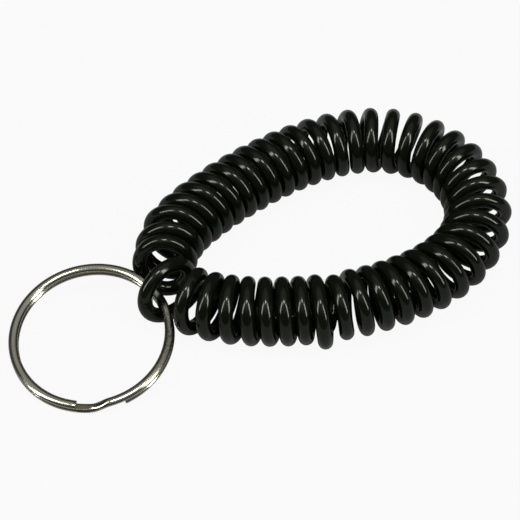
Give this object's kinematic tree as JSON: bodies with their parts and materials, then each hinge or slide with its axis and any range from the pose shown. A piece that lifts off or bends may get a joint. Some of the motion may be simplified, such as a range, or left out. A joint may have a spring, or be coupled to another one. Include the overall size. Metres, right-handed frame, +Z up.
{
  "type": "spiral wrist coil key holder",
  "caption": "Springy wrist loop of glossy black plastic cord wound into a close coil, with a split metal key ring threaded through one of its turns.",
  "frame": {"origin": "on the floor plane, at the middle of the wrist opening, which is the loop outline's own centre", "axes": "+Z up through the wrist opening, +X along the loop away from the key ring, +Y to the left of +X"},
  "size_m": [0.0992, 0.0505, 0.0127],
  "materials": {
    "cord": "glossy black thermoplastic elastomer, moulded round cord",
    "ring": "nickel-plated spring steel, lightly scratched"
  },
  "bodies": {
    "coil_turn_01": {"coil_turn_01": "cord"},
    "coil_turn_02": {"coil_turn_02": "cord"},
    "coil_turn_03": {"coil_turn_03": "cord"},
    "coil_turn_04": {"coil_turn_04": "cord"},
    "coil_turn_05": {"coil_turn_05": "cord"},
    "coil_turn_06": {"coil_turn_06": "cord"},
    "coil_turn_07": {"coil_turn_07": "cord"},
    "coil_turn_08": {"coil_turn_08": "cord"},
    "coil_turn_09": {"coil_turn_09": "cord"},
    "coil_turn_10": {"coil_turn_10": "cord"},
    "coil_turn_11": {"coil_turn_11": "cord"},
    "coil_turn_12": {"coil_turn_12": "cord"},
    "coil_turn_13": {"coil_turn_13": "cord"},
    "coil_turn_14": {"coil_turn_14": "cord"},
    "coil_turn_15": {"coil_turn_15": "cord"},
    "coil_turn_16": {"coil_turn_16": "cord"},
    "coil_turn_17": {"coil_turn_17": "cord"},
    "coil_turn_18": {"coil_turn_18": "cord"},
    "coil_turn_19": {"coil_turn_19": "cord"},
    "coil_turn_20": {"coil_turn_20": "cord"},
    "coil_turn_21": {"coil_turn_21": "cord"},
    "coil_turn_22": {"coil_turn_22": "cord"},
    "coil_turn_23": {"coil_turn_23": "cord"},
    "coil_turn_24": {"coil_turn_24": "cord"},
    "coil_turn_25": {"coil_turn_25": "cord"},
    "coil_turn_26": {"coil_turn_26": "cord"},
    "coil_turn_27": {"coil_turn_27": "cord"},
    "coil_turn_28": {"coil_turn_28": "cord"},
    "coil_turn_29": {"coil_turn_29": "cord"},
    "coil_turn_30": {"coil_turn_30": "cord"},
    "coil_turn_31": {"coil_turn_31": "cord"},
    "coil_turn_32": {"coil_turn_32": "cord"},
    "coil_turn_33": {"coil_turn_33": "cord"},
    "coil_turn_34": {"coil_turn_34": "cord"},
    "coil_turn_35": {"coil_turn_35": "cord"},
    "coil_turn_36": {"coil_turn_36": "cord"},
    "coil_turn_37": {"coil_turn_37": "cord"},
    "coil_turn_38": {"coil_turn_38": "cord"},
    "coil_turn_39": {"coil_turn_39": "cord"},
    "coil_turn_40": {"coil_turn_40": "cord"},
    "coil_turn_41": {"coil_turn_41": "cord"},
    "coil_turn_42": {"coil_turn_42": "cord"},
    "coil_turn_43": {"coil_turn_43": "cord"},
    "ring_body": {"ring_body": "ring"},
    "ring_leaf": {"ring_leaf": "ring"}
  },
  "joints": [
    {"name": "coil_stretch", "type": "slide", "parent": "coil_turn_43", "child": "coil_turn_42", "axis": [-0.0708, 0.9975, 0], "range_m": [0, 0.00423], "stiffness_N_per_m": 2000},
    {"name": "coil_slide_41", "type": "slide", "parent": "coil_turn_42", "child": "coil_turn_41", "axis": [0.598, 0.8015, 0], "range_m": [0, 0.00295]},
    {"name": "coil_slide_40", "type": "slide", "parent": "coil_turn_41", "child": "coil_turn_40", "axis": [0.7946, 0.6071, 0], "range_m": [0, 0.00226]},
    {"name": "coil_slide_39", "type": "slide", "parent": "coil_turn_40", "child": "coil_turn_39", "axis": [0.8671, 0.4982, 0], "range_m": [0, 0.00211]},
    {"name": "coil_slide_38", "type": "slide", "parent": "coil_turn_39", "child": "coil_turn_38", "axis": [0.9061, 0.423, 0], "range_m": [0, 0.00205]},
    {"name": "coil_slide_37", "type": "slide", "parent": "coil_turn_38", "child": "coil_turn_37", "axis": [0.9309, 0.3654, 0], "range_m": [0, 0.00204]},
    {"name": "coil_slide_36", "type": "slide", "parent": "coil_turn_37", "child": "coil_turn_36", "axis": [0.9483, 0.3175, 0], "range_m": [0, 0.00202]},
    {"name": "coil_slide_35", "type": "slide", "parent": "coil_turn_36", "child": "coil_turn_35", "axis": [0.9614, 0.2752, 0], "range_m": [0, 0.00199]},
    {"name": "coil_slide_34", "type": "slide", "parent": "coil_turn_35", "child": "coil_turn_34", "axis": [0.9719, 0.2355, 0], "range_m": [0, 0.00196]},
    {"name": "coil_slide_33", "type": "slide", "parent": "coil_turn_34", "child": "coil_turn_33", "axis": [0.9807, 0.1956, 0], "range_m": [0, 0.00194]},
    {"name": "coil_slide_32", "type": "slide", "parent": "coil_turn_33", "child": "coil_turn_32", "axis": [0.9882, 0.1529, 0], "range_m": [0, 0.00195]},
    {"name": "coil_slide_31", "type": "slide", "parent": "coil_turn_32", "child": "coil_turn_31", "axis": [0.9946, 0.104, 0], "range_m": [0, 0.00199]},
    {"name": "coil_slide_30", "type": "slide", "parent": "coil_turn_31", "child": "coil_turn_30", "axis": [0.999, 0.0449, 0], "range_m": [0, 0.00205]},
    {"name": "coil_slide_29", "type": "slide", "parent": "coil_turn_30", "child": "coil_turn_29", "axis": [0.9996, -0.0299, 0], "range_m": [0, 0.00212]},
    {"name": "coil_slide_28", "type": "slide", "parent": "coil_turn_29", "child": "coil_turn_28", "axis": [0.9919, -0.1273, 0], "range_m": [0, 0.0022]},
    {"name": "coil_slide_27", "type": "slide", "parent": "coil_turn_28", "child": "coil_turn_27", "axis": [0.9674, -0.2533, 0], "range_m": [0, 0.00226]},
    {"name": "coil_slide_26", "type": "slide", "parent": "coil_turn_27", "child": "coil_turn_26", "axis": [0.9128, -0.4085, 0], "range_m": [0, 0.00232]},
    {"name": "coil_slide_25", "type": "slide", "parent": "coil_turn_26", "child": "coil_turn_25", "axis": [0.8147, -0.5798, 0], "range_m": [0, 0.00235]},
    {"name": "coil_slide_24", "type": "slide", "parent": "coil_turn_25", "child": "coil_turn_24", "axis": [0.6731, -0.7396, 0], "range_m": [0, 0.00234]},
    {"name": "coil_slide_23", "type": "slide", "parent": "coil_turn_24", "child": "coil_turn_23", "axis": [0.5022, -0.8648, 0], "range_m": [0, 0.00233]},
    {"name": "coil_slide_22", "type": "slide", "parent": "coil_turn_23", "child": "coil_turn_22", "axis": [0.3156, -0.9489, 0], "range_m": [0, 0.00232]},
    {"name": "coil_slide_21", "type": "slide", "parent": "coil_turn_22", "child": "coil_turn_21", "axis": [0.1167, -0.9932, 0], "range_m": [0, 0.00234]},
    {"name": "coil_slide_20", "type": "slide", "parent": "coil_turn_21", "child": "coil_turn_20", "axis": [-0.0995, -0.995, 0], "range_m": [0, 0.00241]},
    {"name": "coil_slide_19", "type": "slide", "parent": "coil_turn_20", "child": "coil_turn_19", "axis": [-0.3326, -0.9431, 0], "range_m": [0, 0.0025]},
    {"name": "coil_slide_18", "type": "slide", "parent": "coil_turn_19", "child": "coil_turn_18", "axis": [-0.5611, -0.8278, 0], "range_m": [0, 0.00254]},
    {"name": "coil_slide_17", "type": "slide", "parent": "coil_turn_18", "child": "coil_turn_17", "axis": [-0.7461, -0.6658, 0], "range_m": [0, 0.00248]},
    {"name": "coil_slide_16", "type": "slide", "parent": "coil_turn_17", "child": "coil_turn_16", "axis": [-0.8682, -0.4962, 0], "range_m": [0, 0.00236]},
    {"name": "coil_slide_15", "type": "slide", "parent": "coil_turn_16", "child": "coil_turn_15", "axis": [-0.9497, -0.3132, 0], "range_m": [0, 0.00236]},
    {"name": "coil_slide_14", "type": "slide", "parent": "coil_turn_15", "child": "coil_turn_14", "axis": [-0.981, -0.1938, 0], "range_m": [0, 0.00228]},
    {"name": "coil_slide_13", "type": "slide", "parent": "coil_turn_14", "child": "coil_turn_13", "axis": [-0.9953, -0.0968, 0], "range_m": [0, 0.00222]},
    {"name": "coil_slide_12", "type": "slide", "parent": "coil_turn_13", "child": "coil_turn_12", "axis": [-0.9999, -0.0162, 0], "range_m": [0, 0.00218]},
    {"name": "coil_slide_11", "type": "slide", "parent": "coil_turn_12", "child": "coil_turn_11", "axis": [-0.9986, 0.0529, 0], "range_m": [0, 0.00218]},
    {"name": "coil_slide_10", "type": "slide", "parent": "coil_turn_11", "child": "coil_turn_10", "axis": [-0.9935, 0.1142, 0], "range_m": [0, 0.0022]},
    {"name": "coil_slide_09", "type": "slide", "parent": "coil_turn_10", "child": "coil_turn_09", "axis": [-0.9854, 0.1705, 0], "range_m": [0, 0.00223]},
    {"name": "coil_slide_01", "type": "slide", "parent": "coil_turn_43", "child": "coil_turn_01", "axis": [0.6029, -0.7978, 0], "range_m": [0, 0.00255]},
    {"name": "coil_slide_02", "type": "slide", "parent": "coil_turn_01", "child": "coil_turn_02", "axis": [0.7714, -0.6363, 0], "range_m": [0, 0.00234]},
    {"name": "coil_slide_03", "type": "slide", "parent": "coil_turn_02", "child": "coil_turn_03", "axis": [0.8389, -0.5443, 0], "range_m": [0, 0.00224]},
    {"name": "coil_slide_04", "type": "slide", "parent": "coil_turn_03", "child": "coil_turn_04", "axis": [0.8805, -0.474, 0], "range_m": [0, 0.00216]},
    {"name": "coil_slide_05", "type": "slide", "parent": "coil_turn_04", "child": "coil_turn_05", "axis": [0.9092, -0.4164, 0], "range_m": [0, 0.00209]},
    {"name": "coil_slide_06", "type": "slide", "parent": "coil_turn_05", "child": "coil_turn_06", "axis": [0.9306, -0.366, 0], "range_m": [0, 0.00204]},
    {"name": "coil_slide_07", "type": "slide", "parent": "coil_turn_06", "child": "coil_turn_07", "axis": [0.9475, -0.3196, 0], "range_m": [0, 0.00203]},
    {"name": "coil_slide_08", "type": "slide", "parent": "coil_turn_07", "child": "coil_turn_08", "axis": [0.9619, -0.2735, 0], "range_m": [0, 0.00213]},
    {"name": "ring_swing", "type": "hinge", "parent": "coil_turn_43", "child": "ring_body", "pos_m": [-0.03268, -0.00368, 0.00598], "axis": [-0.8873, 0.4579, -0.055], "range_deg": [0, 70]},
    {"name": "ring_open", "type": "hinge", "parent": "ring_body", "child": "ring_leaf", "pos_m": [-0.04075, 0.00725, 0.00573], "axis": [-0.8451, 0.533, -0.0418], "range_deg": [0, 6], "stiffness_Nm_per_rad": 0.03}
  ],
  "couplings": [
    {"joint": "coil_slide_41", "follows": "coil_stretch", "ratio": 0.6975},
    {"joint": "coil_slide_40", "follows": "coil_stretch", "ratio": 0.5329},
    {"joint": "coil_slide_39", "follows": "coil_stretch", "ratio": 0.4981},
    {"joint": "coil_slide_38", "follows": "coil_stretch", "ratio": 0.4854},
    {"joint": "coil_slide_37", "follows": "coil_stretch", "ratio": 0.4819},
    {"joint": "coil_slide_36", "follows": "coil_stretch", "ratio": 0.4784},
    {"joint": "coil_slide_35", "follows": "coil_stretch", "ratio": 0.4699},
    {"joint": "coil_slide_34", "follows": "coil_stretch", "ratio": 0.4636},
    {"joint": "coil_slide_33", "follows": "coil_stretch", "ratio": 0.4592},
    {"joint": "coil_slide_32", "follows": "coil_stretch", "ratio": 0.4616},
    {"joint": "coil_slide_31", "follows": "coil_stretch", "ratio": 0.4713},
    {"joint": "coil_slide_30", "follows": "coil_stretch", "ratio": 0.4841},
    {"joint": "coil_slide_29", "follows": "coil_stretch", "ratio": 0.5015},
    {"joint": "coil_slide_28", "follows": "coil_stretch", "ratio": 0.5209},
    {"joint": "coil_slide_27", "follows": "coil_stretch", "ratio": 0.5338},
    {"joint": "coil_slide_26", "follows": "coil_stretch", "ratio": 0.5483},
    {"joint": "coil_slide_25", "follows": "coil_stretch", "ratio": 0.5553},
    {"joint": "coil_slide_24", "follows": "coil_stretch", "ratio": 0.5522},
    {"joint": "coil_slide_23", "follows": "coil_stretch", "ratio": 0.5498},
    {"joint": "coil_slide_22", "follows": "coil_stretch", "ratio": 0.548},
    {"joint": "coil_slide_21", "follows": "coil_stretch", "ratio": 0.554},
    {"joint": "coil_slide_20", "follows": "coil_stretch", "ratio": 0.5704},
    {"joint": "coil_slide_19", "follows": "coil_stretch", "ratio": 0.5914},
    {"joint": "coil_slide_18", "follows": "coil_stretch", "ratio": 0.6001},
    {"joint": "coil_slide_17", "follows": "coil_stretch", "ratio": 0.5853},
    {"joint": "coil_slide_16", "follows": "coil_stretch", "ratio": 0.5574},
    {"joint": "coil_slide_15", "follows": "coil_stretch", "ratio": 0.5583},
    {"joint": "coil_slide_14", "follows": "coil_stretch", "ratio": 0.5384},
    {"joint": "coil_slide_13", "follows": "coil_stretch", "ratio": 0.524},
    {"joint": "coil_slide_12", "follows": "coil_stretch", "ratio": 0.5161},
    {"joint": "coil_slide_11", "follows": "coil_stretch", "ratio": 0.5164},
    {"joint": "coil_slide_10", "follows": "coil_stretch", "ratio": 0.5195},
    {"joint": "coil_slide_09", "follows": "coil_stretch", "ratio": 0.5264},
    {"joint": "coil_slide_01", "follows": "coil_stretch", "ratio": 0.6018},
    {"joint": "coil_slide_02", "follows": "coil_stretch", "ratio": 0.5535},
    {"joint": "coil_slide_03", "follows": "coil_stretch", "ratio": 0.5291},
    {"joint": "coil_slide_04", "follows": "coil_stretch", "ratio": 0.5099},
    {"joint": "coil_slide_05", "follows": "coil_stretch", "ratio": 0.494},
    {"joint": "coil_slide_06", "follows": "coil_stretch", "ratio": 0.483},
    {"joint": "coil_slide_07", "follows": "coil_stretch", "ratio": 0.4792},
    {"joint": "coil_slide_08", "follows": "coil_stretch", "ratio": 0.5041}
  ]
}
